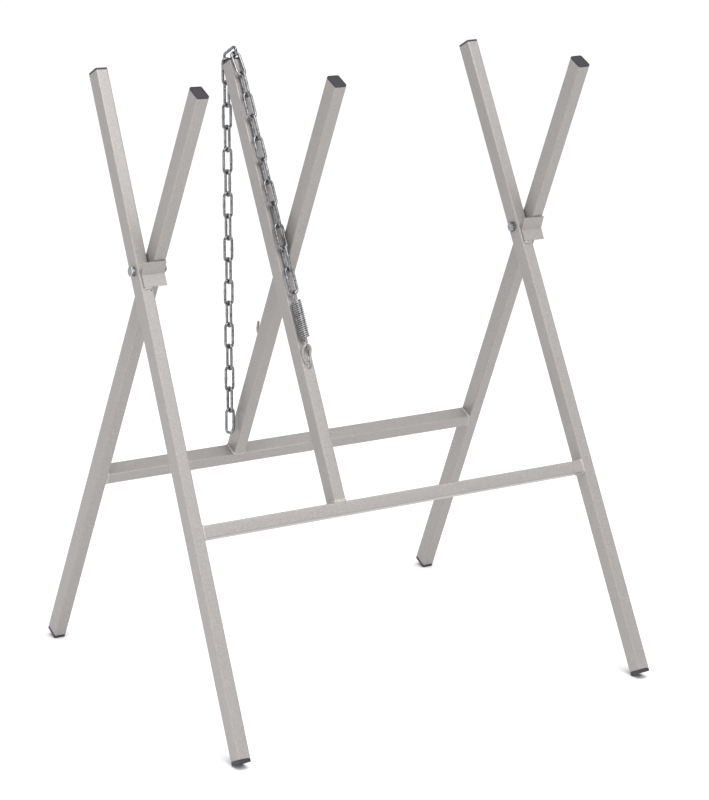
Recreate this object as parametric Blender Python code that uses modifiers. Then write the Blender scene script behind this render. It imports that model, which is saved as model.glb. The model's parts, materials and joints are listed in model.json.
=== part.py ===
"""Folding sawhorse: two welded frames of square tube crossed on two bolts, with a log chain.

Metres, +Z up, +X along the rails, -Y the front. The origin is on the floor under the middle
of the object. The front frame has its feet at the front and leans back, and the rear frame is
the same frame leaning forward, one tube to the right, so the two fold past each other.
Each frame is laid out in its own plane: local X along the rail, local Z up the legs from the
pivot, and local -Y out of its front face.
"""

from math import atan, cos, pi, radians, sin, tan

import bmesh
import bpy
from mathutils import Matrix, Vector

# The two frames
TUBE = 0.018            # rectangular tube: width of a leg, height of a rail
DEPTH = 0.025           # rectangular tube: front to back
WALL = 0.0015           # wall of the tube
CORNER = 0.002          # outer corner radius of the tube
TILT = radians(26.3)    # lean of each frame from upright when open
SPLAY = 0.0245          # how far a leg leans outwards, per metre of leg
LEG_ABOVE = 0.284       # pivot to the top of a leg's cap
LEG_BELOW = 0.671       # pivot to the bottom of a leg's foot
RAIL_DROP = 0.3645      # pivot to the middle of a rail, along the frame
LEG_SPACING = 0.620     # left pivot to right pivot of one frame
STRUT_PLACE = 0.214     # left pivot to the middle strut
FRAME_GAP = 0.0018      # between the two frames where they cross

# What touches keeps this much air, so that the solids stay separate
FIT = 0.0003

# Plastic end caps
CAP_HEAD = 0.0025
FOOT_HEAD = 0.005       # a foot's cap is thicker
CAP_PLUG = 0.010
CAP_CHAMFER = 0.0006

# Pivot hardware, M8
BOLT = 0.008
HEX_FLATS = 0.013
BOLT_HEAD = 0.0053
NUT = 0.0065
NUT_COLLAR = 0.0018
NUT_COLLAR_WIDTH = 0.0112
WASHER_WIDTH = 0.016
WASHER = 0.0014
BOLT_END = 0.0009       # thread that stands out of the nut

# Stop brackets
BRACKET_SHEET = 0.0025
BRACKET_LEG = 0.018     # half that lies on the front leg
BRACKET_ARM = 0.0195    # half that reaches up to the rear leg
BRACKET_LEAN = radians(20)    # of that half, less than the rear leg, so its edge meets the leg
BRACKET_BEND = 0.0030
BRACKET_INSET = 0.0035  # from the front leg's outer side

# Chain of long links, 4 mm wire and 32 mm pitch
LINK_WIRE = 0.004
LINK_LENGTH = 0.040
LINK_WIDTH = 0.016
LINK_COUNT = 29
LINK_LEAD = 0.0013      # the link on the cap stands this far forward of the strut's middle

# The eye and the hook for the chain, and its spring
ROD = 0.004
EYE_DROP = 0.136        # pivot to the top of the eye's arc
EYE_WIDTH = 0.012       # between the middles of its two legs
EYE_LEGS = 0.026
HOOK_DROP = 0.150       # pivot to the bottom of the hook
HOOK_REACH = 0.0125     # between the middles of its two legs
HOOK_BACK = 0.022
HOOK_TIP = 0.009
HOOK_FLARE = 0.002
SPRING_WIRE = 0.002
SPRING_WIDTH = 0.0145
SPRING_TURNS = 19
SPRING_COIL = 0.054
SPRING_LEAST = 0.066    # least room from the last link's joint to the eye
SPRING_END = 0.0025     # free end of each of its two hooks

# How finely round things are cut
HEX_SIDES = 6
ROUND_SIDES = 24
CORNER_STEPS = 3
LINK_STEPS = 6          # around each end of a link; even, so that a corner meets the next link
COIL_STEPS = 10         # around each turn of the spring

HALF = TUBE / 2
DEEP = DEPTH / 2
LANE = TUBE + FRAME_GAP
LEFT = -(LEG_SPACING + LANE) / 2
LOWEST = LEG_BELOW + (HALF - CAP_CHAMFER) * SPLAY     # a foot's lowest edge, down its frame
PIVOT_HEIGHT = LOWEST * cos(TILT) + (DEEP - CAP_CHAMFER) * sin(TILT)
LEG_X = {"left": LEFT, "right": LEFT + LEG_SPACING}
LEG_SLOPE = {"left": SPLAY, "right": -SPLAY}
STRUT_X = LEFT + STRUT_PLACE
SEAT = FIT + WASHER_WIDTH / 2 * SPLAY    # a washer's air on a leg that leans
HEX_CORNERS = HEX_FLATS / cos(pi / HEX_SIDES)


def start_clean():
    for old in list(bpy.data.objects):
        bpy.data.objects.remove(old, do_unlink=True)


def collection(name):
    made = bpy.data.collections.new(name)
    bpy.context.scene.collection.children.link(made)
    return made


start_clean()
PARTS = collection("folding_sawhorse")
CUTTERS = collection("cutters")


def finish(name, colour, roughness, metallic):
    """The piece's own Principled material."""
    made = bpy.data.materials.new(name)
    made.use_nodes = True
    shader = made.node_tree.nodes["Principled BSDF"]
    shader.inputs["Base Color"].default_value = (*colour, 1)
    shader.inputs["Roughness"].default_value = roughness
    shader.inputs["Metallic"].default_value = metallic
    return made


FINISHES = {
    "powder_coat": ((0.44, 0.43, 0.42), 0.45, 0.35),
    "black_plastic": ((0.035, 0.032, 0.035), 0.5, 0.0),
    "zinc_plate": ((0.55, 0.56, 0.57), 0.32, 1.0),
}


def piece(name, mesh, kind, parent=None, matrix=None):
    """A named object of the model. The matrix is its place in its parent's frame."""
    made = bpy.data.objects.new(name, mesh)
    PARTS.objects.link(made)
    made.parent = parent
    made.matrix_local = matrix or Matrix()
    mesh.materials.clear()
    mesh.materials.append(finish(name, *FINISHES[kind]))
    return made


def axis_empty(name, place, tilt=0.0):
    made = bpy.data.objects.new(name, None)
    PARTS.objects.link(made)
    made.location = place
    made.rotation_euler.x = tilt
    bpy.context.view_layer.update()
    return made


def cutter(name, mesh, parent, matrix):
    made = bpy.data.objects.new(name, mesh)
    CUTTERS.objects.link(made)
    made.parent = parent
    made.matrix_local = matrix
    made.hide_render = True
    made.display_type = "WIRE"
    return made


def cut(target, tool, operation="DIFFERENCE"):
    modifier = target.modifiers.new(tool.name, "BOOLEAN")
    modifier.object = tool
    modifier.operation = operation


def from_curve(name, build):
    """The mesh of a curve that build() draws, with its caps welded."""
    data = bpy.data.curves.new(name, "CURVE")
    build(data)
    holder = bpy.data.objects.new(name, data)
    PARTS.objects.link(holder)
    bpy.context.view_layer.update()
    shown = holder.evaluated_get(bpy.context.evaluated_depsgraph_get())
    mesh = bpy.data.meshes.new_from_object(shown)
    bpy.data.objects.remove(holder, do_unlink=True)
    bpy.data.curves.remove(data)
    form = bmesh.new()
    form.from_mesh(mesh)
    bmesh.ops.remove_doubles(form, verts=form.verts, dist=0.000001)
    bmesh.ops.recalc_face_normals(form, faces=form.faces)
    form.to_mesh(mesh)
    form.free()
    mesh.name = name
    return mesh


def spline(data, points, closed):
    line = data.splines.new("POLY")
    line.points.add(len(points) - 1)
    for spot, point in zip(line.points, points):
        spot.co = (*point, 1) if len(point) == 3 else (*point, 0, 1)
    line.use_cyclic_u = closed


def prism(name, outlines, height):
    """Closed outlines in local XY, extruded equally both ways along local Z."""

    def build(data):
        data.dimensions = "2D"
        data.fill_mode = "BOTH"
        data.extrude = height / 2
        for outline in outlines:
            spline(data, outline, True)

    return from_curve(name, build)


def wire(name, points, thickness, sides_step, closed=False):
    """A round wire along points."""

    def build(data):
        data.dimensions = "3D"
        data.bevel_depth = thickness / 2
        data.bevel_resolution = sides_step
        data.use_fill_caps = not closed
        spline(data, points, closed)

    mesh = from_curve(name, build)
    mesh.shade_smooth()
    return mesh


def turned(name, profile, sides):
    """A closed profile of (radius, height), down its outer side first, turned about local Z."""
    mesh = bpy.data.meshes.new(name)
    form = bmesh.new()
    spots = [form.verts.new((r, 0, z)) for r, z in profile]
    for a, b in zip(spots, spots[1:] + spots[:1]):
        form.edges.new((a, b))
    form.to_mesh(mesh)
    form.free()
    holder = bpy.data.objects.new(name, mesh)
    PARTS.objects.link(holder)
    screw = holder.modifiers.new("turn", "SCREW")
    screw.steps = sides
    screw.render_steps = sides
    screw.use_merge_vertices = True
    screw.merge_threshold = 0.00001
    bpy.context.view_layer.update()
    shown = holder.evaluated_get(bpy.context.evaluated_depsgraph_get())
    made = bpy.data.meshes.new_from_object(shown)
    bpy.data.objects.remove(holder, do_unlink=True)
    bpy.data.meshes.remove(mesh)
    made.name = name
    return made


def round_bar(name, radius, length, sides):
    """A solid bar along local Z, from 0 to its length."""
    mesh = bpy.data.meshes.new(name)
    form = bmesh.new()
    bmesh.ops.create_cone(
        form, cap_ends=True, segments=sides, radius1=radius, radius2=radius, depth=length
    )
    bmesh.ops.translate(form, verts=form.verts, vec=(0, 0, length / 2))
    form.to_mesh(mesh)
    form.free()
    return mesh


def rounded_box(width, depth, radius):
    """The corners of a rectangle with arcs of that radius, anticlockwise."""
    across, back = width / 2 - radius, depth / 2 - radius
    points = []
    for quarter in range(4):
        turn = quarter * pi / 2
        middle = Vector((across * (cos(turn) - sin(turn)), back * (cos(turn) + sin(turn))))
        for step in range(CORNER_STEPS + 1):
            angle = turn + step * pi / 2 / CORNER_STEPS
            points.append(tuple(middle + radius * Vector((cos(angle), sin(angle)))))
    return points


def tube(name, length, slope_low=0.0, slope_high=0.0):
    """A hollow tube along local Z, middle at 0, its ends cut to lean along local X."""
    inner = max(CORNER - WALL, WALL / 4)
    outlines = [rounded_box(TUBE, DEPTH, CORNER)]
    outlines.append(rounded_box(TUBE - 2 * WALL, DEPTH - 2 * WALL, inner))
    mesh = prism(name, outlines, length)
    for spot in mesh.vertices:
        slope = slope_high if spot.co.z > 0 else slope_low
        spot.co.z += slope * spot.co.x
    return mesh


def cap_mesh(name, head):
    """An end cap: a head that stands on the tube's end at z 0, and a plug inside the tube."""
    mesh = bpy.data.meshes.new(name)
    form = bmesh.new()
    bmesh.ops.create_cube(form, size=1)
    bmesh.ops.scale(form, verts=form.verts, vec=(TUBE, DEPTH, head))
    bmesh.ops.translate(form, verts=form.verts, vec=(0, 0, head / 2))
    bmesh.ops.bevel(
        form,
        geom=[e for e in form.edges if all(v.co.z > head / 2 for v in e.verts)],
        offset=CAP_CHAMFER,
        offset_type="OFFSET",
        segments=1,
        profile=0.5,
        affect="EDGES",
        material=-1,
    )
    form.faces.ensure_lookup_table()
    under = min(form.faces, key=lambda f: f.calc_center_median().z)
    bmesh.ops.inset_region(form, faces=[under], thickness=WALL + FIT, use_even_offset=True)
    grown = bmesh.ops.extrude_discrete_faces(form, faces=[under])
    spots = {v for f in grown["faces"] for v in f.verts}
    bmesh.ops.translate(form, verts=list(spots), vec=(0, 0, -CAP_PLUG))
    form.to_mesh(mesh)
    form.free()
    return mesh


def along(x, slope, z, lean=0.0):
    """The place on a leg at height z of its frame, turned to follow the leg's slope."""
    turn = Matrix.Rotation(atan(slope) + lean, 4, "Y")
    return Matrix.Translation((x + slope * z, 0, z)) @ turn


def leg(prefix, side, parent, shift):
    """A leg with its two caps."""
    x, slope = LEG_X[side] + shift, LEG_SLOPE[side]
    top, foot = LEG_ABOVE - CAP_HEAD, -LEG_BELOW + FOOT_HEAD
    middle, length = (top + foot) / 2, top - foot - 2 * FIT
    mesh = tube(f"{prefix}_leg_{side}", length)
    made = piece(mesh.name, mesh, "powder_coat", parent, along(x, slope, middle))
    bore = round_bar(f"bore_{prefix}_{side}", BOLT / 2 + FIT, LANE, ROUND_SIDES)
    across = Matrix.Translation((x - LANE / 2, 0, 0)) @ Matrix.Rotation(pi / 2, 4, "Y")
    cut(made, cutter(bore.name, bore, parent, across))
    cap(f"top_cap_{prefix}_{side}", CAP_HEAD, parent, along(x, slope, top))
    cap(f"foot_cap_{prefix}_{side}", FOOT_HEAD, parent, along(x, slope, foot, pi))


def cap(name, head, parent, matrix):
    piece(name, cap_mesh(name, head), "black_plastic", parent, matrix)


def rail(prefix, parent, shift):
    """The cross rail, butted between the legs, its ends cut to the legs' lean."""
    name = f"{prefix}_rail"
    inner = {}
    for side, way in (("left", 1), ("right", -1)):
        x = LEG_X[side] - LEG_SLOPE[side] * RAIL_DROP + way * (HALF / cos(atan(SPLAY)) + FIT)
        inner[side] = x + shift
    length = inner["right"] - inner["left"]
    middle = (inner["right"] + inner["left"]) / 2
    mesh = tube(name, length, -LEG_SLOPE["left"], -LEG_SLOPE["right"])
    lie = Matrix.Translation((middle, 0, -RAIL_DROP)) @ Matrix.Rotation(pi / 2, 4, "Y")
    piece(name, mesh, "powder_coat", parent, lie)


def strut(prefix, parent, shift):
    """The middle strut, from its rail up to its cap."""
    name = f"{prefix}_strut"
    top, low = LEG_ABOVE - CAP_HEAD - FIT, -RAIL_DROP + HALF + FIT
    mesh = tube(name, top - low)
    place = Matrix.Translation((STRUT_X + shift, 0, (top + low) / 2))
    piece(name, mesh, "powder_coat", parent, place)
    place = along(STRUT_X + shift, 0, LEG_ABOVE - CAP_HEAD)
    cap(f"top_cap_{prefix}_middle", CAP_HEAD, parent, place)


def frame(prefix, tilt, shift):
    parent = axis_empty(f"{prefix}_frame", (0, 0, PIVOT_HEIGHT), tilt)
    for side in ("left", "right"):
        leg(prefix, side, parent, shift)
    rail(prefix, parent, shift)
    strut(prefix, parent, shift)
    return parent


def ring(name, width, thickness):
    """A washer's section, turned."""
    bore = BOLT / 2 + FIT
    rim = width / 2
    profile = [(rim, thickness), (rim, 0), (bore, 0), (bore, thickness)]
    return turned(name, profile, ROUND_SIDES)


def hardware(side):
    """The bolt through both frames, its lock nut and the two washers, along world X."""
    at = LEG_X[side]
    turn = Matrix.Rotation(pi / 2, 4, "Y")    # local Z points to +X, from the head to the nut

    def put(x):
        return Matrix.Translation((x, 0, PIVOT_HEIGHT)) @ turn

    gap = FRAME_GAP - 2 * SEAT
    spacer = ring(f"spacer_washer_{side}", WASHER_WIDTH, gap)
    piece(spacer.name, spacer, "zinc_plate", None, put(at + HALF + SEAT))

    outer = at + LANE + HALF + SEAT
    washer = ring(f"nut_washer_{side}", WASHER_WIDTH, WASHER)
    piece(washer.name, washer, "zinc_plate", None, put(outer))

    nut_face = outer + WASHER + FIT
    nut = round_bar(f"lock_nut_{side}", HEX_CORNERS / 2, NUT, HEX_SIDES)
    made = piece(nut.name, nut, "zinc_plate", None, put(nut_face))
    collar = round_bar(f"collar_{side}", NUT_COLLAR_WIDTH / 2, NUT / 2 + NUT_COLLAR, ROUND_SIDES)
    cut(made, cutter(collar.name, collar, None, put(nut_face + NUT / 2)), "UNION")
    through = NUT + NUT_COLLAR + 2 * WASHER
    bore = round_bar(f"nut_bore_{side}", BOLT / 2 + FIT, through, ROUND_SIDES)
    cut(made, cutter(bore.name, bore, None, put(nut_face - WASHER)))

    head_face = at - HALF - SEAT
    tip = nut_face + NUT + NUT_COLLAR + BOLT_END
    inside = head_face - BOLT_HEAD / 2
    shank = round_bar(f"pivot_bolt_{side}", BOLT / 2, tip - inside, ROUND_SIDES)
    made = piece(shank.name, shank, "zinc_plate", None, put(inside))
    head = round_bar(f"bolt_head_{side}", HEX_CORNERS / 2, BOLT_HEAD, HEX_SIDES)
    cut(made, cutter(head.name, head, None, put(head_face - BOLT_HEAD)), "UNION")


def bracket(side, parent):
    """A bent sheet in the front notch of the crossing; its upper edge stops the rear leg."""
    name = f"stop_bracket_{side}"
    down = Vector((-sin(TILT), -cos(TILT)))
    up = Vector((-sin(BRACKET_LEAN), cos(BRACKET_LEAN)))
    outward = {"down": Vector((-cos(TILT), sin(TILT)))}
    outward["up"] = Vector((-cos(BRACKET_LEAN), -sin(BRACKET_LEAN)))
    fall = BRACKET_ARM * sin(TILT - BRACKET_LEAN) / sin(2 * TILT)
    corner = Vector((-(DEEP + FIT) / cos(TILT), 0)) + fall * down
    way = (down + up).normalized()
    spread = cos((TILT + BRACKET_LEAN) / 2)
    centre = corner + BRACKET_BEND / spread * way
    bend = []
    for step in range(CORNER_STEPS + 1):
        angle = -TILT + (TILT + BRACKET_LEAN) * step / CORNER_STEPS
        bend.append(centre + BRACKET_BEND * Vector((cos(angle), sin(angle))))
    low, high = corner + BRACKET_LEG * down, corner + BRACKET_ARM * up
    outline = [low, *bend, high, high + BRACKET_SHEET * outward["up"]]
    outline += [corner + BRACKET_SHEET / spread * way, low + BRACKET_SHEET * outward["down"]]
    width = LANE + TUBE - BRACKET_INSET
    mesh = prism(name, [[tuple(p) for p in outline]], width)
    stand = Matrix(((0, 0, 1, 0), (1, 0, 0, 0), (0, 1, 0, 0), (0, 0, 0, 1)))
    middle = LEG_X[side] + LANE + HALF - width / 2
    place = Matrix.Translation((middle, 0, PIVOT_HEIGHT)) @ stand
    piece(name, mesh, "powder_coat", None, place)


# The chain's path, in the front frame's own plane: (y, z) of the middles of its joints.
LINK_RADIUS = (LINK_WIDTH - LINK_WIRE) / 2
UPRIGHT = LINK_LENGTH - LINK_WIDTH
PLAY = LINK_RADIUS - LINK_WIRE - FIT
FLAT = LINK_LENGTH - LINK_WIRE + 2 * PLAY
CHAIN_OFF = DEEP + FIT + LINK_WIDTH / 2     # the chain's middle, from the post's middle


def link_mesh():
    """One link in local XZ, long along Z."""
    points = []
    for end in (0, 1):
        for step in range(LINK_STEPS + 1):
            angle = end * pi + step * pi / LINK_STEPS
            lift = UPRIGHT / 2 if end == 0 else -UPRIGHT / 2
            points.append((LINK_RADIUS * cos(angle), 0, lift + LINK_RADIUS * sin(angle)))
    return wire("chain_link", points, LINK_WIRE, 2, closed=True)


def chain_joints():
    """The joints from the spring up the strut to the two of the link that stands on its cap."""
    on_cap = LEG_ABOVE + FIT + LINK_WIDTH / 2
    front = Vector((-UPRIGHT / 2 - LINK_LEAD, on_cap))
    back = Vector((UPRIGHT / 2 - LINK_LEAD, on_cap))
    sideways = CHAIN_OFF + front.x
    first = front + Vector((-sideways, -((FLAT**2 - sideways**2) ** 0.5)))
    room = first.y + EYE_DROP - SPRING_LEAST
    pairs = int(room / (UPRIGHT + FLAT))
    run = [first]
    for _ in range(pairs):
        run.append(run[-1] - Vector((0, UPRIGHT)))
        run.append(run[-1] - Vector((0, FLAT)))
    return [*reversed(run), front, back]


def set_link(number, mesh, parent, x, start, end):
    """A link between two joints: a near pair holds an upright link, in the plane of the path."""
    upright = (end - start).length < (UPRIGHT + FLAT) / 2
    way = Vector((0, *(end - start))).normalized()
    side = Vector((1, 0, 0))
    flat = side.cross(way) if upright else side
    turn = Matrix((flat, way.cross(flat), way)).transposed().to_4x4()
    place = Matrix.Translation((x, *((start + end) / 2))) @ turn
    piece(f"chain_link_{number:02d}", mesh.copy(), "zinc_plate", parent, place)


def chain(parent):
    """The links, from the spring to the free end. The last ones hang plumb behind the post."""
    mesh = link_mesh()
    joints = chain_joints()
    number = 1
    for start, end in zip(joints, joints[1:]):
        set_link(number, mesh, parent, STRUT_X, start, end)
        number += 1
    hang = parent.matrix_world @ Vector((STRUT_X, *joints[-1]))
    swing = axis_empty("chain_tail", hang)
    start = Vector((0, 0))
    for number in range(number, LINK_COUNT + 1):
        upright = (number - len(joints)) % 2 == 1
        end = start - Vector((0, UPRIGHT if upright else FLAT))
        set_link(number, mesh, swing, 0, start, end)
        start = end
    return joints[0].y


def arc(middle, first, second, radius, start, end, steps):
    """Points of an arc in the plane of two unit directions."""
    points = []
    for step in range(steps + 1):
        angle = start + (end - start) * step / steps
        points.append(middle + radius * (cos(angle) * first + sin(angle) * second))
    return points


def eye(parent):
    """A bent rod, its two legs welded along the front strut and its arc standing off the face."""
    half = EYE_WIDTH / 2
    face = -(DEEP + FIT + ROD / 2)
    lean = radians(30)
    rise = Vector((0, -sin(lean), cos(lean)))
    top = Vector((STRUT_X, -CHAIN_OFF, -EYE_DROP))
    middle = top - half * rise
    side = Vector((1, 0, 0))
    points = arc(middle, side, rise, half, 0, pi, 2 * LINK_STEPS)
    bend = face - middle.y
    knee = middle.z - bend / tan(lean)
    right = Vector((STRUT_X + half, face, knee))
    left = Vector((STRUT_X - half, face, knee))
    foot = Vector((0, 0, -(knee + EYE_DROP + EYE_LEGS)))
    path = [right + foot, right, *points, left, left + foot]
    mesh = wire("chain_eye", [tuple(p) for p in path], ROD, 2)
    piece(mesh.name, mesh, "powder_coat", parent)


def hook(parent, shift):
    """A bent rod on the back of the rear strut, open upwards for a link."""
    face = DEEP + FIT + ROD / 2
    out = Vector((0, 1, 0))
    down = Vector((0, 0, -1))
    radius = HOOK_REACH / 2
    middle = Vector((STRUT_X + shift, face + radius, -HOOK_DROP))
    bow = arc(middle, -out, down, radius, 0, pi, 2 * LINK_STEPS)
    back = bow[0] - HOOK_BACK * down
    tip = bow[-1] - HOOK_TIP * down + HOOK_FLARE * out
    mesh = wire("chain_hook", [tuple(p) for p in (back, *bow, tip)], ROD, 2)
    piece(mesh.name, mesh, "powder_coat", parent)


def spring(parent, last_joint):
    """The extension spring between the eye and the last link, with a hook at each end."""
    radius = (SPRING_WIDTH - SPRING_WIRE) / 2
    link_grip = (LINK_WIRE + SPRING_WIRE) / 2 + FIT
    eye_grip = (ROD + SPRING_WIRE) / 2 + FIT
    back, up, side = Vector((0, 1, 0)), Vector((0, 0, 1)), Vector((1, 0, 0))
    high = Vector((STRUT_X, -CHAIN_OFF, last_joint + PLAY))
    low = Vector((STRUT_X, -CHAIN_OFF, -EYE_DROP))
    middle = (high.z + low.z) / 2
    path = [high - link_grip * back - SPRING_END * up]
    path += arc(high, -back, up, link_grip, 0, pi, LINK_STEPS)
    steps = SPRING_TURNS * COIL_STEPS
    for step in range(steps + 1):
        angle = 2 * pi * step / COIL_STEPS
        spot = radius * (cos(angle) * back + sin(angle) * side)
        lift = middle + SPRING_COIL * (1 / 2 - step / steps)
        path.append(Vector((STRUT_X, -CHAIN_OFF, lift)) + spot)
    path += arc(low, back, -up, eye_grip, 0, pi, LINK_STEPS)
    path.append(low - eye_grip * back + SPRING_END * up)
    mesh = wire("chain_spring", [tuple(p) for p in path], SPRING_WIRE, 1)
    piece(mesh.name, mesh, "zinc_plate", parent)


def build():
    front = frame("front", -TILT, 0.0)
    rear = frame("rear", TILT, LANE)
    for side in ("left", "right"):
        hardware(side)
        bracket(side, front)
    top = chain(front)
    eye(front)
    hook(rear, LANE)
    spring(front, top)


build()
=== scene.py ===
import json
from math import atan, atan2, cos, pi, radians, sin, tan

import bmesh
import bpy
import numpy as np
from mathutils import Matrix, Vector


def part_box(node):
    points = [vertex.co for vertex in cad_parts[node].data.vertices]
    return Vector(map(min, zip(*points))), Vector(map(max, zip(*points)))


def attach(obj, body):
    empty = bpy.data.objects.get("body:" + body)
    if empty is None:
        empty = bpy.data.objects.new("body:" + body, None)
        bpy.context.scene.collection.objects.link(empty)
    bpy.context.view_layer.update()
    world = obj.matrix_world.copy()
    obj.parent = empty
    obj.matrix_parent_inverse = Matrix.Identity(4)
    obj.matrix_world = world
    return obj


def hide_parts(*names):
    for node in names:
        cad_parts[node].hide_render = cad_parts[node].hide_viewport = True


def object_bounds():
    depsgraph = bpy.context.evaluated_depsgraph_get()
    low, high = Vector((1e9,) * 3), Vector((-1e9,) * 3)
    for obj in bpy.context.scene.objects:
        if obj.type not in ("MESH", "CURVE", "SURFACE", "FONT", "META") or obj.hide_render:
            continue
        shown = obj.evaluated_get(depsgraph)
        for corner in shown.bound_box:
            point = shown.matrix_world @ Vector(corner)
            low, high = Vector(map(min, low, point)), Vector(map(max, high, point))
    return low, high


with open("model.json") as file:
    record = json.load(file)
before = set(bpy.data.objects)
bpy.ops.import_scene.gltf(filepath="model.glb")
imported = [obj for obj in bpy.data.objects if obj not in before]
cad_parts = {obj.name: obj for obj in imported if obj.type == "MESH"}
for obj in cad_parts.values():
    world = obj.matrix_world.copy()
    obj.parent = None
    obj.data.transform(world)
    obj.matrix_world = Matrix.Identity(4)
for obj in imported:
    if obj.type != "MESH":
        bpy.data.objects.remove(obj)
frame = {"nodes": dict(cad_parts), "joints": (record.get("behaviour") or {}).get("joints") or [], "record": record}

cad_box = [list(map(float, corner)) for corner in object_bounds()]

# Sizes in metres
TUBE = 0.018              # width of a leg, height of a rail
DEPTH = 0.025             # front to back
HALF = TUBE / 2
DEEP = DEPTH / 2
SPLAY = 0.0245            # sideways lean of a leg, per metre
CAP_SHY = 0.0002          # a cap's head is this much narrower than its tube
CAP_HEAD = 0.0025
FOOT_HEAD = 0.005         # a foot's cap is thicker
CAP_PLUG = 0.010          # a cap's plug, inside the tube
CORNER = 0.002            # outer corner of the tube, and of a cap's head
BEVEL = 0.00035           # broken edge of sheet and pressed parts
LINK_WIRE = 0.004
LINK_LENGTH = 0.040
LINK_WIDTH = 0.016
WELD_PITCH = 0.0024       # one ripple of a weld
ROD = 0.004
SPRING_WIRE = 0.002
SPRING_WIDTH = 0.0145
SPRING_TURNS = 19
SPRING_COIL = 0.054
EYE_WIDTH = 0.012
HEX_FLATS = 0.013
NUT_HEX = 0.0062          # height of a lock nut's hexagon
HEAD = 0.0053             # height of a bolt's head

X, Y, Z = Vector((1, 0, 0)), Vector((0, 1, 0)), Vector((0, 0, 1))
PIVOT = next(j["pos_m"][2] for j in frame["joints"] if j["name"] == "fold")
CRADLE = next(m["axis"] for m in frame["record"]["mounts"] if m["name"] == "cradle_rear_left")
TILT = atan2(CRADLE[2], CRADLE[1])
BODY = {n: b for b, ns in frame["record"]["behaviour"]["bodies"].items() for n in ns}
LEAN = {
    "front": Matrix.Translation((0, 0, PIVOT)) @ Matrix.Rotation(-TILT, 4, "X"),
    "rear": Matrix.Translation((0, 0, PIVOT)) @ Matrix.Rotation(TILT, 4, "X"),
}


# ---------------------------------------------------------------- materials

def paint(code, alpha=1.0):
    """An sRGB hex colour as linear values."""
    parts = [int(code[i:i + 2], 16) / 255 for i in (1, 3, 5)]
    return (*[c / 12.92 if c <= 0.04045 else ((c + 0.055) / 1.055) ** 2.4 for c in parts], alpha)


def add(tree, kind, links=None, values=None, **settings):
    """A node with its settings, the links into it and the values on its sockets."""
    node = tree.nodes.new(kind)
    for name, value in settings.items():
        setattr(node, name, value)
    for name, value in (values or {}).items():
        node.inputs[name].default_value = value
    for name, socket in (links or {}).items():
        tree.links.new(socket, node.inputs[name])
    return node


def per_metre(size):
    """Texture scale for a pattern whose grains are this many metres apart."""
    return 1 / size


def surface(name, light, dark, grain, cloud, rough, metal, bump, bump_grain, cloud_dark=None):
    """A finish whose colour, gloss and relief vary with a fine grain and a broad cloud."""
    made = bpy.data.materials.new(name)
    made.use_nodes = True
    tree = made.node_tree
    shader = tree.nodes["Principled BSDF"]
    shader.inputs["Metallic"].default_value = metal
    place = add(tree, "ShaderNodeTexCoord").outputs["Object"]
    fine = add(tree, "ShaderNodeTexNoise", {"Vector": place},
               {"Scale": per_metre(grain), "Detail": 3.0, "Roughness": 0.6})
    broad = add(tree, "ShaderNodeTexNoise", {"Vector": place},
                {"Scale": per_metre(cloud), "Detail": 2.0})
    spread = add(tree, "ShaderNodeMapRange", {"Value": fine.outputs["Fac"]},
                 {"From Min": 0.3, "From Max": 0.7})
    tint = add(tree, "ShaderNodeMix", {"Factor": spread.outputs["Result"]}, data_type="RGBA")
    tint.inputs[6].default_value = paint(dark)
    tint.inputs[7].default_value = paint(light)
    drift = add(tree, "ShaderNodeMapRange", {"Value": broad.outputs["Fac"]},
                {"From Min": 0.4, "From Max": 0.75, "To Max": 0.45})
    shade = add(tree, "ShaderNodeMix", {"Factor": drift.outputs["Result"]}, data_type="RGBA")
    tree.links.new(tint.outputs[2], shade.inputs[6])
    shade.inputs[7].default_value = paint(cloud_dark or dark)
    tree.links.new(shade.outputs[2], shader.inputs["Base Color"])
    gloss = add(tree, "ShaderNodeMapRange", {"Value": fine.outputs["Fac"]},
                {"From Min": 0.3, "From Max": 0.7, "To Min": rough[0], "To Max": rough[1]})
    tree.links.new(gloss.outputs["Result"], shader.inputs["Roughness"])
    peel = add(tree, "ShaderNodeTexNoise", {"Vector": place},
               {"Scale": per_metre(bump_grain), "Detail": 2.0})
    relief = add(tree, "ShaderNodeBump", {"Height": peel.outputs["Fac"]},
                 {"Strength": 1.0, "Distance": bump})
    tree.links.new(relief.outputs["Normal"], shader.inputs["Normal"])
    return made


# Polyester powder coat with fine mica on steel tube, baked: satin silver grey, a faint sparkle
# and a soft orange peel. The mica is far finer than a millimetre and is drawn 2.2 mm coarse.
POWDER = surface("silver_powder_coat", "#a29e9c", "#8d8987", 0.0022, 0.07,
                 (0.32, 0.5), 0.35, 0.00005, 0.0018, "#959390")
# The same coat over a weld: thicker in the valleys of the ripples and rougher. Its colour is painted paler than
# the coat, a painted highlight on the bead.
WELD = surface("coated_weld_painted_highlight", "#cbc7c4", "#8c8886", 0.0016, 0.012,
               (0.38, 0.6), 0.25, 0.00022, 0.0014, "#b0acaa")
# Injection-moulded low-density polyethylene: near black, a fine spark-eroded grain, waxy.
PLASTIC = surface("black_polyethylene", "#35323a", "#1f1d21", 0.0016, 0.02,
                  (0.4, 0.6), 0.0, 0.00006, 0.0009, "#222024")
# Bright zinc plate on turned and forged steel: a cool grey mirror with dull patches.
ZINC = surface("zinc_plated_steel", "#b4b6b8", "#77797c", 0.0025, 0.012,
               (0.18, 0.36), 1.0, 0.00002, 0.001)
# Zinc plate on drawn chain wire, barrel plated, scuffed in random patches. Its colour is painted darker than the
# plate, painted shade for the dark surroundings that the links reflect.
CHAIN = surface("chain_zinc_painted_shade", "#a2a3a5", "#505154", 0.0035, 0.02,
                (0.22, 0.42), 1.0, 0.00003, 0.0016, "#606163")
# Hard-drawn spring wire, zinc plated: brighter than the chain.
SPRING = surface("plated_spring_wire", "#b6b7b9", "#7a7b7e", 0.006, 0.02,
                 (0.2, 0.34), 1.0, 0.00001, 0.003)
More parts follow.
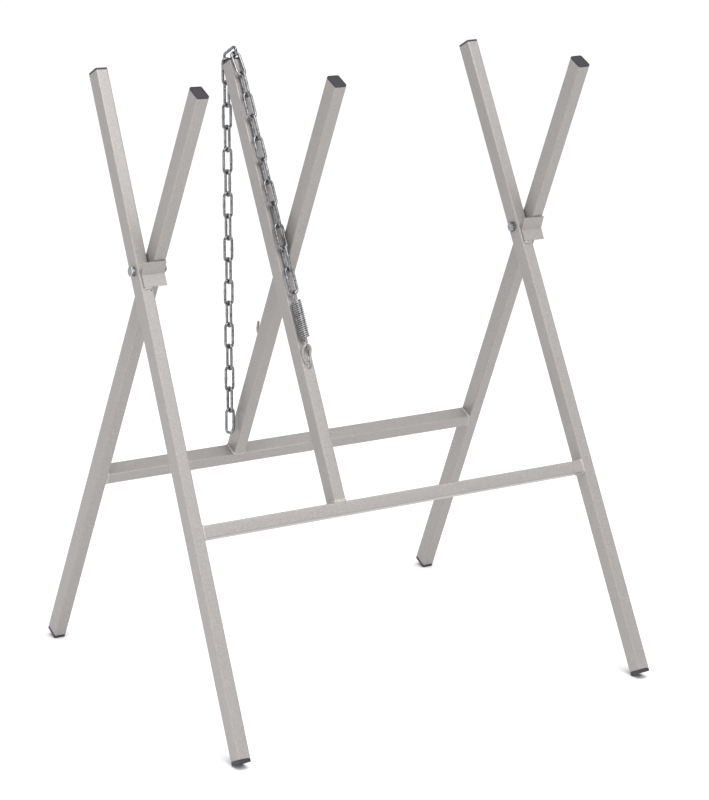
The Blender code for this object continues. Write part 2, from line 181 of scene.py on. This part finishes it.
# Natural polyamide ring of a lock nut: milky and slightly waxy.
NYLON = surface("natural_polyamide", "#e2dfd4", "#cfcbbd", 0.002, 0.01,
                (0.4, 0.5), 0.0, 0.00002, 0.001)
# Pit in a weld, under the coat: a dull hollow, drawn as a small lump whose dark colour is painted shade for the
# hollow.
PIT = surface("weld_pit_painted_shade", "#5f5b59", "#3b3836", 0.0008, 0.004,
              (0.6, 0.8), 0.1, 0.00004, 0.0006)


# ---------------------------------------------------------------- shaping

def put(form, name, body, finish, stands_for=(), smooth=True):
    """The finished piece: its mesh in place, riding on its body."""
    mesh = bpy.data.meshes.new(name)
    form.to_mesh(mesh)
    form.free()
    if smooth:
        mesh.shade_smooth()
    mesh.materials.append(finish)
    made = bpy.data.objects.new(name, mesh)
    bpy.context.scene.collection.objects.link(made)
    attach(made, body)
    if stands_for:
        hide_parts(*stands_for)
    return made


def weigh(piece, angle=40):
    """Flat faces stay flat in the shading, and only the rounded edges turn."""
    piece.data.set_sharp_from_angle(angle=radians(angle))
    even = piece.modifiers.new("flats", "WEIGHTED_NORMAL")
    even.weight = 100
    even.keep_sharp = True
    return piece


def soften(piece, width=BEVEL, segments=2, angle=35):
    edge = piece.modifiers.new("edge", "BEVEL")
    edge.width = width
    edge.segments = segments
    edge.limit_method = "ANGLE"
    edge.angle_limit = radians(angle)
    edge.use_clamp_overlap = True
    return piece


def merged(node):
    """A copy of a CAD node's mesh with its loose triangles merged into whole faces."""
    form = bmesh.new()
    form.from_mesh(frame["nodes"][node].data)
    bmesh.ops.remove_doubles(form, verts=form.verts, dist=0.000002)
    bmesh.ops.dissolve_limit(
        form, angle_limit=radians(0.5), verts=form.verts, edges=form.edges, delimit=set()
    )
    return form


def corners(node, turn):
    """The lowest and highest corner of a CAD node along turned axes."""
    back = turn.inverted()
    spots = [back @ v.co for v in frame["nodes"][node].data.vertices]
    low = Vector([min(s[i] for s in spots) for i in range(3)])
    high = Vector([max(s[i] for s in spots) for i in range(3)])
    return low, high


def principal(node):
    """The middle of a CAD node, with its longest side along Z and its shortest along Y."""
    spots = np.array([v.co[:] for v in frame["nodes"][node].data.vertices])
    centre = (spots.min(0) + spots.max(0)) / 2
    ways = np.linalg.eigh(np.cov((spots - spots.mean(0)).T))[1]
    thin, wide, long = (Vector(ways[:, i]) for i in range(3))
    turn = Matrix((wide, long.cross(wide), long)).transposed().to_4x4()
    return Matrix.Translation(Vector(centre)) @ turn


def pipe(points, radii, sides, closed=False):
    """A round bar along points, as thick at each as its radius there."""
    form = bmesh.new()
    count = len(points)
    ways = []
    for i in range(count):
        before = points[i - 1] if i or closed else points[0]
        after = points[(i + 1) % count] if i < count - 1 or closed else points[-1]
        ways.append((after - before).normalized())
    side = ways[0].orthogonal().normalized()
    places = []
    for i in range(count):
        if i:
            side = ways[i - 1].rotation_difference(ways[i]) @ side
            side = (side - ways[i] * side.dot(ways[i])).normalized()
        turn = Matrix((side, ways[i].cross(side), ways[i])).transposed().to_4x4()
        places.append(Matrix.Translation(points[i]) @ turn @ Matrix.Scale(radii[i], 4))
    ring = bmesh.ops.create_circle(form, cap_ends=False, segments=sides, radius=1.0)["verts"]
    bmesh.ops.transform(form, matrix=places[0], verts=ring)
    edges = list(form.edges)
    first = list(edges)
    order = places[1:] + ([places[0]] if closed else [])
    last = places[0]
    for place in order:
        grown = bmesh.ops.extrude_edge_only(form, edges=edges)["geom"]
        spots = [g for g in grown if isinstance(g, bmesh.types.BMVert)]
        edges = [g for g in grown if isinstance(g, bmesh.types.BMEdge)]
        edges = [e for e in edges if all(v in set(spots) for v in e.verts)]
        bmesh.ops.transform(form, matrix=place @ last.inverted(), verts=spots)
        last = place
    if closed:
        bmesh.ops.remove_doubles(form, verts=form.verts, dist=0.00002)
    else:
        bmesh.ops.edgeloop_fill(form, edges=first)
        bmesh.ops.edgeloop_fill(form, edges=edges)
    bmesh.ops.recalc_face_normals(form, faces=form.faces)
    return form


def arc(middle, first, second, radius, start, end, steps):
    span = [start + (end - start) * i / steps for i in range(steps + 1)]
    return [middle + radius * (cos(a) * first + sin(a) * second) for a in span]


def resample(points, gap, closed):
    """The same path with its points one gap apart."""
    path = points + [points[0]] if closed else points
    total = sum((b - a).length for a, b in zip(path, path[1:]))
    count = max(3, round(total / gap))
    step = total / count
    made, walked, wanted = [], 0.0, 0.0
    for a, b in zip(path, path[1:]):
        long = (b - a).length
        while wanted <= walked + long + 1e-9 and len(made) < count + (not closed):
            made.append(a.lerp(b, (wanted - walked) / long if long else 0))
            wanted += step
        walked += long
    return made


def bead(name, points, radius, body, closed=False, finish=None, roughness=0.12):
    """A weld bead along a path, with a ripple for each dab of the torch."""
    gap = WELD_PITCH / 4
    path = resample(points, gap, closed)
    count = len(path)
    radii = []
    for i in range(count):
        ripple = abs(sin(pi * i * gap / WELD_PITCH))
        wander = sin(i * 0.37) * 0.06
        ends = 1.0 if closed else min(1.0, 0.35 + 0.2 * min(i, count - 1 - i))
        radii.append(radius * ends * (1 - roughness * (1 - ripple) + wander))
    form = pipe(path, radii, 10, closed)
    return put(form, name, body, finish or WELD)


# ---------------------------------------------------------------- tubes and sheet

for node in [n for n in frame["nodes"] if n.split("_")[0] in ("front", "rear")]:
    weigh(put(merged(node), f"{node}_tube", BODY[node], POWDER, [node]), 50)

for side in ("left", "right"):
    node = f"stop_bracket_{side}"
    sheet = put(merged(node), f"{node}_sheet", BODY[node], POWDER, [node])
    weigh(soften(sheet, 0.0005, 3, 40), 30)


# ---------------------------------------------------------------- end caps

def end_cap(node, turn):
    """A moulded cap: rounded rim and a sunk panel."""
    low, high = corners(node, turn)
    head = FOOT_HEAD if node.startswith("foot") else CAP_HEAD
    form = bmesh.new()
    bmesh.ops.create_cube(form, size=1)
    bmesh.ops.scale(form, verts=form.verts, vec=(TUBE - CAP_SHY, DEPTH - CAP_SHY, head))
    bmesh.ops.translate(form, verts=form.verts, vec=(0, 0, -head / 2))
    upright = [e for e in form.edges if abs(e.verts[0].co.z - e.verts[1].co.z) > head / 2]
    bmesh.ops.bevel(form, geom=upright, offset=CORNER, offset_type="OFFSET", segments=4,
                    profile=0.5, affect="EDGES", material=-1)
    rim = [e for e in form.edges if all(v.co.z > -head / 4 for v in e.verts)]
    bmesh.ops.bevel(form, geom=rim, offset=0.0005, offset_type="OFFSET", segments=3,
                    profile=0.5, affect="EDGES", material=-1)
    top = max(form.faces, key=lambda f: (round(f.calc_center_median().z, 6), f.calc_area()))
    bmesh.ops.inset_region(form, faces=[top], thickness=0.0006, use_even_offset=True)
    bmesh.ops.inset_region(form, faces=[top], thickness=0.0003, depth=-0.0006,
                           use_even_offset=True)
    under = min(form.faces, key=lambda f: (round(f.calc_center_median().z, 6), -f.calc_area()))
    bmesh.ops.inset_region(form, faces=[under], thickness=0.0018, use_even_offset=True)
    plug = bmesh.ops.extrude_discrete_faces(form, faces=[under])["faces"][0]
    bmesh.ops.translate(form, verts=list(plug.verts), vec=(0, 0, -CAP_PLUG))
    place = Vector(((low.x + high.x) / 2, (low.y + high.y) / 2, high.z))
    bmesh.ops.transform(form, matrix=turn @ Matrix.Translation(place), verts=form.verts)
    bmesh.ops.recalc_face_normals(form, faces=form.faces)
    name = f"{node}_moulding"
    weigh(put(form, name, BODY[node], PLASTIC, [node]), 50)


SLOPE = {"left": SPLAY, "middle": 0.0, "right": -SPLAY}
for node in [n for n in frame["nodes"] if "_cap_" in n]:
    where, _, prefix, side = node.split("_")
    flip = pi if where == "foot" else 0.0
    end_cap(node, LEAN[prefix] @ Matrix.Rotation(atan(SLOPE[side]) + flip, 4, "Y"))


# ---------------------------------------------------------------- welds

def seam(wide, deep, corner, swell):
    """Points round a joint: a rounded rectangle, swollen outwards across its wide way."""
    points = []
    for quarter in range(4):
        for step in range(6):
            angle = quarter * pi / 2 + step * pi / 10
            one, two = cos(angle), sin(angle)
            across = wide - corner + (corner + swell) * abs(one) if abs(one) > 0.01 else 0
            back = deep - corner + corner * abs(two) if abs(two) > 0.01 else 0
            points.append((across * (one > 0.01) - across * (one < -0.01),
                           back * (two > 0.01) - back * (two < -0.01), abs(one)))
    return points


def frame_welds(prefix):
    """The seams round both rail ends and round the strut's foot."""
    lean, body = LEAN[prefix], f"{prefix}_frame"
    low, high = corners(f"{prefix}_rail", lean)
    rail = (low.z + high.z) / 2
    for side, x, way in (("left", low.x, 1), ("right", high.x, -1)):
        path = [Vector((x + way * (0.0003 + 0.0009 * lift) + SLOPE[side] * z, y, rail + z))
                for z, y, lift in seam(HALF, DEEP - 0.0011, 0.0022, 0.0004)]
        bead(f"{prefix}_rail_weld_{side}", [lean @ p for p in path], 0.0016, body, closed=True,
             roughness=0.16)
    low, high = corners(f"{prefix}_strut", lean)
    middle, foot = (low.x + high.x) / 2, low.z
    path = [Vector((middle + x, y, foot + 0.0002 + 0.0009 * lift))
            for x, y, lift in seam(HALF, DEEP - 0.0011, 0.0022, 0.0006)]
    bead(f"{prefix}_strut_weld", [lean @ p for p in path], 0.0017, body, closed=True,
         roughness=0.2)


for prefix in ("front", "rear"):
    frame_welds(prefix)

# the pass over the front of the front strut's foot, wider and rougher than the rest
low, high = corners("front_strut", LEAN["front"])
row = [Vector((low.x + 0.0008 + (TUBE - 0.0016) * i / 12, -DEEP + 0.0011,
               low.z + 0.0014 + 0.0012 * (i % 2))) for i in range(13)]
bead("front_strut_cap_pass", [LEAN["front"] @ p for p in row], 0.0021, "front_frame", roughness=0.3)

for side, droop in (("left", 0.0004), ("right", 0.0016)):
    low, high = corners(f"stop_bracket_{side}", LEAN["front"])
    start = low.x + 0.0006
    path = [Vector((start + (TUBE - 0.0055) * i / 14, -DEEP - 0.0002, low.z - droop * (i % 3) / 2))
            for i in range(15)]
    bead(f"stop_bracket_weld_{side}", [LEAN["front"] @ p for p in path],
         0.0022 if side == "left" else 0.0027, "front_frame",
         roughness=0.1 if side == "left" else 0.45)


def blob(name, place, size, finish, body):
    """A lump of weld or a pit, as a squashed ball; a pit's ball is coloured dark as painted shade."""
    form = bmesh.new()
    bmesh.ops.create_uvsphere(form, u_segments=20, v_segments=12, radius=1.0)
    bmesh.ops.transform(form, matrix=place @ Matrix.Diagonal((*size, 1)), verts=form.verts)
    return put(form, name, body, finish)


# ---------------------------------------------------------------- pivots

def turned(profile, steps=40):
    """A profile of (radius, height) turned about Z, closed at the axis where it starts there."""
    form = bmesh.new()
    spots = [form.verts.new((r, 0, z)) for r, z in profile]
    edges = [form.edges.new(pair) for pair in zip(spots, spots[1:] + spots[:1])
             if any(v.co.x > 0 for v in pair)]
    bmesh.ops.spin(form, geom=spots + edges, cent=(0, 0, 0), axis=(0, 0, 1), angle=2 * pi,
                   steps=steps, use_merge=True, use_duplicate=False)
    bmesh.ops.remove_doubles(form, verts=form.verts, dist=0.000005)
    bmesh.ops.recalc_face_normals(form, faces=form.faces)
    return form


def hex_piece(flats, height, chamfer):
    """A turned blank along Z from 0 to its height, chamfered, then milled to six flats."""
    face, rim = flats / 2 - chamfer, flats / 2 / cos(pi / 6) + 0.0003
    drop = (rim - face) * tan(radians(32))
    form = turned([(0, 0), (rim, 0), (rim, height - drop), (face, height), (0, height)], 48)
    for side in range(6):
        way = Matrix.Rotation(side * pi / 3, 3, "Z") @ X
        cut = bmesh.ops.bisect_plane(
            form, geom=form.verts[:] + form.edges[:] + form.faces[:], dist=0.000001,
            plane_co=way * flats / 2, plane_no=way, clear_outer=True)["geom_cut"]
        bmesh.ops.edgeloop_fill(
            form, edges=[g for g in cut if isinstance(g, bmesh.types.BMEdge)])
    bmesh.ops.recalc_face_normals(form, faces=form.faces)
    return form


def set_on(form, matrix):
    bmesh.ops.transform(form, matrix=matrix, verts=form.verts)
    return form


OUTWARD = Matrix.Rotation(pi / 2, 4, "Y")       # local Z to +X, from the head to the nut
INWARD = Matrix.Rotation(-pi / 2, 4, "Y")       # local Z to -X

for side in ("left", "right"):
    low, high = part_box(f"lock_nut_{side}")
    centre = Vector((0, (low.y + high.y) / 2, (low.z + high.z) / 2))
    tall = high.x - low.x
    face = Matrix.Translation(centre + low.x * X) @ OUTWARD @ Matrix.Rotation(0.35, 4, "Z")
    nut = put(set_on(hex_piece(HEX_FLATS, NUT_HEX, 0.0004), face), f"nut_hex_{side}",
              "front_frame", ZINC, [f"lock_nut_{side}"], smooth=False)
    soften(nut, 0.0002, 2, 25)
    collar = [(0.0040, 0.003), (0.0060, 0.003), (0.0060, NUT_HEX), (0.0058, tall - 0.0012),
              (0.0053, tall - 0.0005), (0.0046, tall), (0.0044, tall), (0.0044, tall - 0.0008)]
    weigh(put(set_on(turned(collar), face), f"nut_collar_{side}", "front_frame", ZINC), 50)
    ring = [(0.0037, tall - 0.003), (0.0045, tall - 0.003), (0.0045, tall - 0.0006),
            (0.0042, tall - 0.0004), (0.0038, tall - 0.0006)]
    put(set_on(turned(ring), face), f"nut_insert_{side}", "front_frame", NYLON)
    low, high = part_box(f"pivot_bolt_{side}")
    seat = Matrix.Translation(centre + (low.x + HEAD) * X) @ INWARD
    reach = high.x - low.x - HEAD
    stem = [(0, 0.001), (0.0039, 0.001), (0.0039, 0.0008 - reach), (0.0030, -reach),
            (0, -reach)]
    weigh(put(set_on(turned(stem), seat), f"bolt_stem_{side}", "front_frame", ZINC,
              [f"pivot_bolt_{side}"]), 40)
    turn = seat @ Matrix.Rotation(0.25 if side == "left" else 0.6, 4, "Z")
    head = put(set_on(hex_piece(HEX_FLATS, HEAD, 0.0007), turn), f"bolt_head_{side}",
               "front_frame", ZINC, smooth=False)
    soften(head, 0.00025, 2, 25)
    for node in (f"nut_washer_{side}", f"spacer_washer_{side}"):
        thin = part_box(node)
        thick = thin[1].x - thin[0].x
        disc = [(0.00415, 0.0), (0.0078, 0.0), (0.0080, thick * 0.3), (0.0080, thick * 0.7),
                (0.0078, thick), (0.00415, thick)]
        base = Matrix.Translation(centre + thin[0].x * X) @ OUTWARD
        weigh(put(set_on(turned(disc, 48), base), f"{node}_disc", "front_frame", ZINC,
                  [node]), 50)


# ---------------------------------------------------------------- chain, spring, eye and hook

def link_form(lump):
    """One link, long along Z in the XZ plane, with the swelling of its butt weld on one side."""
    radius = (LINK_WIDTH - LINK_WIRE) / 2
    straight = (LINK_LENGTH - LINK_WIDTH) / 2
    path = arc(straight * Z, X, Z, radius, 0, pi, 12)
    path += [Vector((-radius, 0, straight * (1 - i / 4))) for i in range(1, 8)]
    path += arc(-straight * Z, -X, -Z, radius, 0, pi, 12)
    path += [Vector((radius, 0, straight * (i / 4 - 1))) for i in range(1, 8)]
    radii = [LINK_WIRE / 2] * len(path)
    weld = 13 + 3
    for offset, swell in ((-1, 0.00005), (0, lump), (1, 0.00008)):
        radii[weld + offset] += swell
    return pipe(path, radii, 14, closed=True)


links = sorted(n for n in frame["nodes"] if n.startswith("chain_link_"))
for number, node in enumerate(links):
    place = principal(node) @ Matrix.Rotation(pi * (number // 2 % 2), 4, "Z")
    form = set_on(link_form(0.0002 + 0.00008 * (number % 3)), place)
    put(form, f"{node}_steel", BODY[node], CHAIN, [node])

lean = LEAN["front"]
low, high = corners("chain_spring", lean)
axis_x = (low.x + high.x) / 2
coil_radius = (SPRING_WIDTH - SPRING_WIRE) / 2
axis_y = high.y - SPRING_WIRE / 2 - coil_radius
eye_low, eye_high = corners("chain_eye", lean)
eye_bar = eye_high.z - ROD / 2
last_low = corners("chain_link_01", lean)[0]
link_bar = last_low.z + LINK_WIRE / 2
grip = (ROD + SPRING_WIRE) / 2 + 0.0002
mid = (eye_bar + link_bar) / 2
axis = Vector((axis_x, axis_y, 0))
path = [axis + (link_bar - 0.0022) * Z - (grip + 0.0004) * Y]
path += arc(axis + link_bar * Z, -Y, Z, grip, 0, pi, 10)
top_z, bottom_z = mid + SPRING_COIL / 2, mid - SPRING_COIL / 2
path.append(axis + (top_z + 0.0022) * Z + (grip + 0.0006) * Y)
per_turn = 24
steps = SPRING_TURNS * per_turn
for i in range(steps + 1):
    angle = 2 * pi * i / per_turn
    ease = min(1.0, i / per_turn * 1.6, (steps - i) / per_turn * 1.6)
    spread = coil_radius * (0.82 + 0.18 * ease)
    lift = top_z + (bottom_z - top_z) * i / steps
    path.append(axis + lift * Z + spread * (cos(angle) * Y + sin(angle) * X))
path.append(axis + (bottom_z - 0.0022) * Z + (grip + 0.0006) * Y)
path += arc(axis + eye_bar * Z, Y, -Z, grip, 0, pi, 10)
path.append(axis + (eye_bar + 0.0024) * Z - (grip + 0.0004) * Y)
form = set_on(pipe(path, [SPRING_WIRE / 2] * len(path), 10), lean)
put(form, "chain_spring_wire", "front_frame", SPRING, ["chain_spring"])

# the eye: its arc stands off the strut, its legs draw together down the face into the weld
half = EYE_WIDTH / 2
face = -DEEP - ROD / 2 + 0.0004
slant = radians(30)
rise = cos(slant) * Z - sin(slant) * Y
arc_top = axis + eye_bar * Z
middle = arc_top - half * rise
path = []
foot = eye_low.z
for sign in (1, -1):
    bend = [middle + sign * half * X,
            Vector((axis_x + sign * half, (middle.y + face) / 2, middle.z - 0.0035)),
            Vector((axis_x + sign * half * 0.92, face, middle.z - 0.0075)),
            Vector((axis_x + sign * half * 0.7, face, (middle.z - 0.0075 + foot) / 2)),
            Vector((axis_x + sign * half * 0.45, face, foot))]
    path = bend[:0:-1] + path if sign == 1 else path + bend[1:]
arch = arc(middle, X, rise, half, 0, pi, 16)
count = 4
path = path[:count] + arch + path[count:]
form = set_on(pipe(path, [ROD / 2] * len(path), 14), lean)
put(form, "chain_eye_rod", "front_frame", POWDER, ["chain_eye"])
base = lean @ Matrix.Translation((axis_x, -DEEP, foot - 0.0005))
blob("eye_weld", base, (0.0062, 0.0016, 0.0048), POWDER, "front_frame")
blob("eye_weld_side", base @ Matrix.Translation((0.0035, 0, 0.007)), (0.0028, 0.0014, 0.0062),
     POWDER, "front_frame")
# pits in the eye's weld: small dark balls of painted shade
for i, (dx, dz) in enumerate(((-0.002, 0.001), (0.0022, -0.0028), (0.0008, -0.0045))):
    blob(f"eye_weld_painted_shade_pit_{i}", base @ Matrix.Translation((dx, -0.0013, dz)),
         (0.0007, 0.0005, 0.0009), PIT, "front_frame")

# the hook on the back of the rear strut
lean = LEAN["rear"]
low, high = corners("chain_hook", lean)
bend = (high.y - low.y - ROD - 0.002) / 2
hook_x = (low.x + high.x) / 2
stem = low.y + ROD / 2 - 0.0004
middle = Vector((hook_x, stem + bend, low.z + ROD / 2 + bend))
path = [Vector((hook_x, stem, high.z))] + arc(middle, -Y, -Z, bend, 0, pi, 14)
path.append(middle + (bend + 0.002) * Y + 0.009 * Z)
path = resample(path, 0.0012, False)
radii = [ROD / 2] * len(path)
radii[-1], radii[-2] = ROD * 0.3, ROD * 0.45
form = set_on(pipe(path, radii, 14), lean)
put(form, "chain_hook_rod", "rear_frame", POWDER, ["chain_hook"])
for sign in (-1, 1):
    run = [lean @ Vector((hook_x + sign * 0.0018, DEEP + 0.0002, high.z - 0.001 - 0.0015 * i))
           for i in range(9)]
    bead(f"hook_weld_{'left' if sign < 0 else 'right'}", run, 0.0013, "rear_frame")

# a pit in the leg below the left bracket's weld, a small dark ball of painted shade
low, high = corners("stop_bracket_left", LEAN["front"])
pit = Matrix.Translation((low.x + TUBE * 0.55, -DEEP, low.z - 0.0045))
blob("bracket_weld_pit", LEAN["front"] @ pit, (0.0008, 0.0004, 0.0012), PIT, "front_frame")


# ---------------------------------------------------------------- camera, light and floor

CAMERA_PLACE = Vector((-1.96288, -3.20235, 1.35657))
YAW, PITCH, ROLL = 0.55445, 0.25312, 0.00206
forward = Vector((sin(YAW) * cos(PITCH), cos(YAW) * cos(PITCH), -sin(PITCH)))
level = Vector((cos(YAW), -sin(YAW), 0))
upward = level.cross(forward)
across = level * cos(ROLL) + upward * sin(ROLL)
upward = upward * cos(ROLL) - level * sin(ROLL)
lens = bpy.data.cameras.new("camera")
lens.lens = 122.71
lens.clip_end = 200
camera = bpy.data.objects.new("camera", lens)
bpy.context.scene.collection.objects.link(camera)
turn = Matrix((across, upward, -forward)).transposed().to_4x4()
camera.matrix_world = Matrix.Translation(CAMERA_PLACE) @ turn
bpy.context.scene.camera = camera


def softbox(name, place, aim, size, power, colour="#ffffff"):
    light = bpy.data.lights.new(name, "AREA")
    light.shape = "RECTANGLE"
    light.size, light.size_y = size
    light.energy = power
    light.color = paint(colour)[:3]
    made = bpy.data.objects.new(name, light)
    bpy.context.scene.collection.objects.link(made)
    made.location = place
    made.rotation_euler = (Vector(aim) - Vector(place)).to_track_quat("-Z", "Y").to_euler()


softbox("overhead", (-0.4, -1.2, 3.2), (0, 0, 0.6), (2.2, 2.2), 54)
softbox("left_front", (-3.2, -0.9, 0.7), (0, 0, 0.3), (1.6, 1.2), 22)

sky = bpy.data.lights.new("ceiling", "SUN")
sky.energy = 2.05
sky.angle = radians(60)
ceiling = bpy.data.objects.new("ceiling", sky)
bpy.context.scene.collection.objects.link(ceiling)
ceiling.rotation_euler = (Vector((0, 0, 0)) - Vector((0.1, -0.55, 1))).to_track_quat(
    "-Z", "Y").to_euler()

world = bpy.data.worlds.new("studio")
world.use_nodes = True
world.node_tree.nodes["Background"].inputs["Color"].default_value = paint("#fbfbfd")
world.node_tree.nodes["Background"].inputs["Strength"].default_value = 0.55
bpy.context.scene.world = world

form = bmesh.new()
bmesh.ops.create_grid(form, x_segments=1, y_segments=1, size=40)
bmesh.ops.translate(form, verts=form.verts, vec=(0, 0, cad_box[0][2] - 0.0002))
ground = bpy.data.meshes.new("floor")
form.to_mesh(ground)
form.free()
paper = bpy.data.materials.new("white_paper_floor")
paper.use_nodes = True
shader = paper.node_tree.nodes["Principled BSDF"]
shader.inputs["Base Color"].default_value = paint("#f8f8f8")
shader.inputs["Roughness"].default_value = 0.9
ground.materials.append(paper)
floor = bpy.data.objects.new("floor", ground)
bpy.context.scene.collection.objects.link(floor)

view = bpy.context.scene.view_settings
view.view_transform = "Standard"
